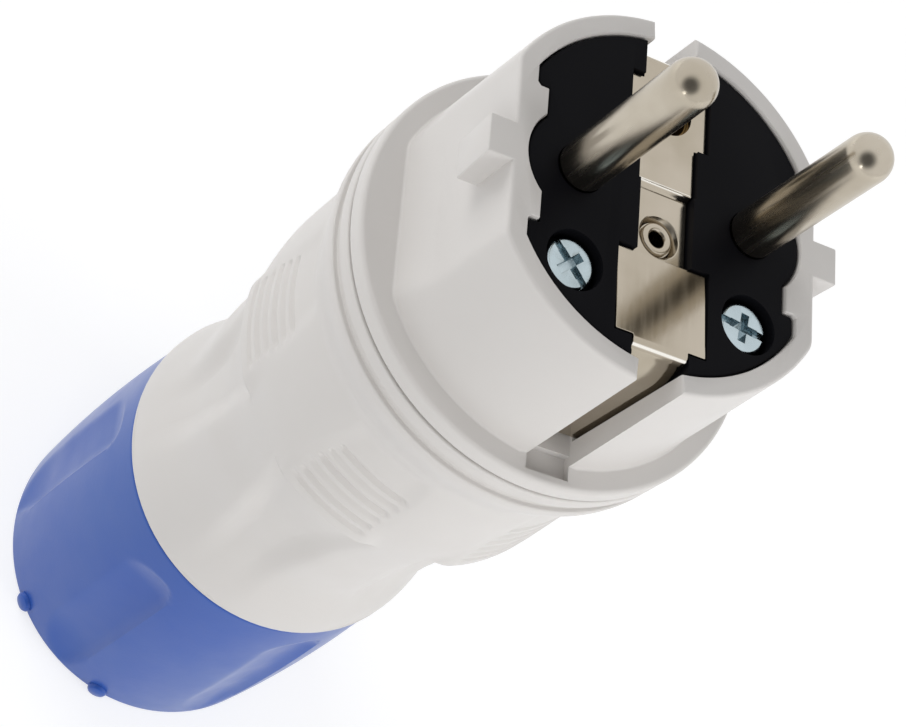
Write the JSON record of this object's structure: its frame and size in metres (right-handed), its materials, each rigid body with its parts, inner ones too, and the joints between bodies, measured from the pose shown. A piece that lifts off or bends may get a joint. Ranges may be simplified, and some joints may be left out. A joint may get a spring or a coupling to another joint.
{
  "type": "rewirable two-pin earthed mains plug with cable gland",
  "caption": "Straight rewirable mains plug: round head with two pins and earth contacts, ribbed grip handle and a coloured cable-gland nut.",
  "frame": {"origin": "centre of the gland nut's end face, which the plug stands on", "axes": "+Z along the plug's axis towards the pins, +X from the live pin towards the neutral pin, +Y towards the hole for the socket's earth pin"},
  "size_m": [0.0444, 0.0444, 0.1305],
  "materials": {
    "housing_plastic": "fine semi-matt moulded surface",
    "seal_rubber": "matt",
    "insert_plastic": "satin moulded surface",
    "nickel_pins": "nickel plated, lightly drawn",
    "nickel_sheet": "nickel plated sheet, bright",
    "zinc_screws": "zinc plated, bluish",
    "contact_brass": "plain",
    "spring_steel": "bright",
    "gland_rubber": "matt",
    "inner_plastic": "matt",
    "nut_plastic": "satin moulded surface"
  },
  "bodies": {
    "plug_body": {"front_shell": "housing_plastic", "body_seal": "seal_rubber", "handle": "housing_plastic", "contact_carrier": "insert_plastic", "live_pin": "nickel_pins", "neutral_pin": "nickel_pins", "terminal_screws": "zinc_screws", "earth_strap_upper": "nickel_sheet", "earth_strip_lower": "nickel_sheet", "earth_rivet": "nickel_sheet", "earth_socket": "contact_brass", "earth_terminal": "contact_brass", "socket_spring": "spring_steel", "face_screws": "zinc_screws", "post_inserts": "contact_brass", "gland_seal": "gland_rubber", "seal_washer": "inner_plastic", "clamp_cage": "inner_plastic"},
    "thrust_ring": {"thrust_ring": "inner_plastic"},
    "gland_nut": {"gland_nut": "nut_plastic"}
  },
  "joints": [
    {"name": "nut_travel", "type": "slide", "parent": "plug_body", "child": "thrust_ring", "axis": [0, 0, -1], "range_m": [0, 0.02]},
    {"name": "nut_turn", "type": "hinge", "parent": "thrust_ring", "child": "gland_nut", "pos_m": [0, 0, 0.018], "axis": [0, 0, -1], "range_deg": [0, 2401]}
  ],
  "couplings": [
    {"joint": "nut_turn", "follows": "nut_travel", "rad_per_m": 2094.4}
  ]
}
